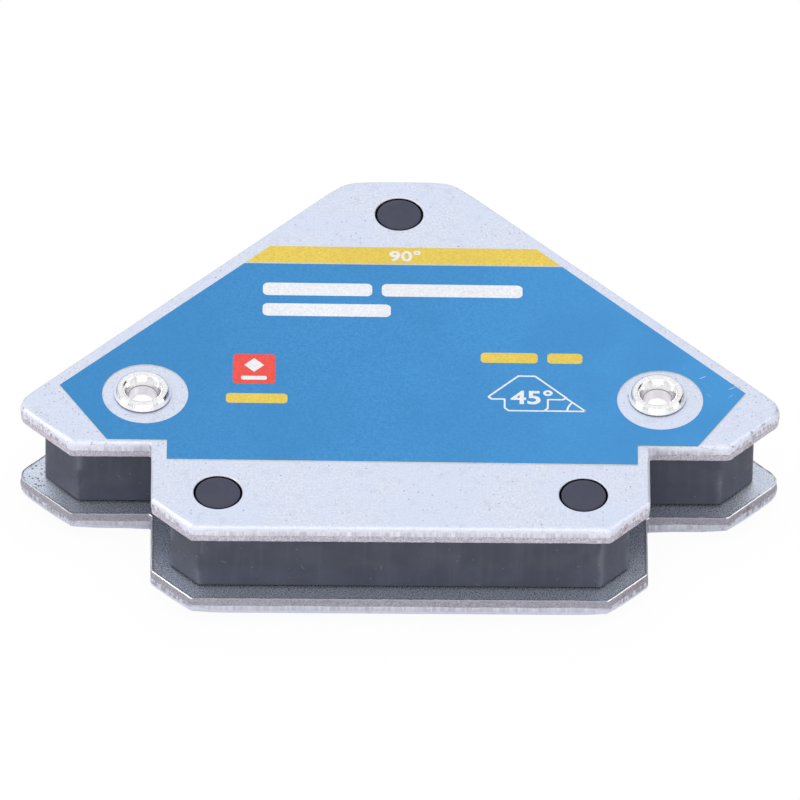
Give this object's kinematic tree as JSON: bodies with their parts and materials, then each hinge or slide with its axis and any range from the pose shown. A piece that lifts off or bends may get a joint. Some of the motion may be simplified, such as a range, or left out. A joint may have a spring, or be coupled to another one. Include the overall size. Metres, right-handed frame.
{
  "type": "welding magnet holder",
  "caption": "Arrow-shaped magnetic holder that sets steel at right and half-right angles: two steel pole plates on a dark magnet core, clinched with hollow rivets, with a blue label.",
  "frame": {"origin": "centre of the bounding box: midway along the width and the length, and midway between the two pole plates", "axes": "+X towards the right-hand tip seen from the labelled side, +Y from the base edge towards the apex, +Z out of the labelled upper plate"},
  "size_m": [0.095, 0.064, 0.0171],
  "materials": {
    "zinc_steel": "satin",
    "rivet_steel": "polished",
    "dark_plastic": "satin",
    "ferrite": "matte",
    "printed_label": "satin"
  },
  "bodies": {
    "root": {"upper_plate": "zinc_steel", "lower_plate": "zinc_steel", "plastic_core": "dark_plastic", "apex_magnet": "ferrite", "left_magnet": "ferrite", "right_magnet": "ferrite", "left_rivet": "rivet_steel", "right_rivet": "rivet_steel", "apex_peg": "dark_plastic", "left_base_peg": "dark_plastic", "right_base_peg": "dark_plastic", "face_label": "printed_label"}
  },
  "joints": []
}
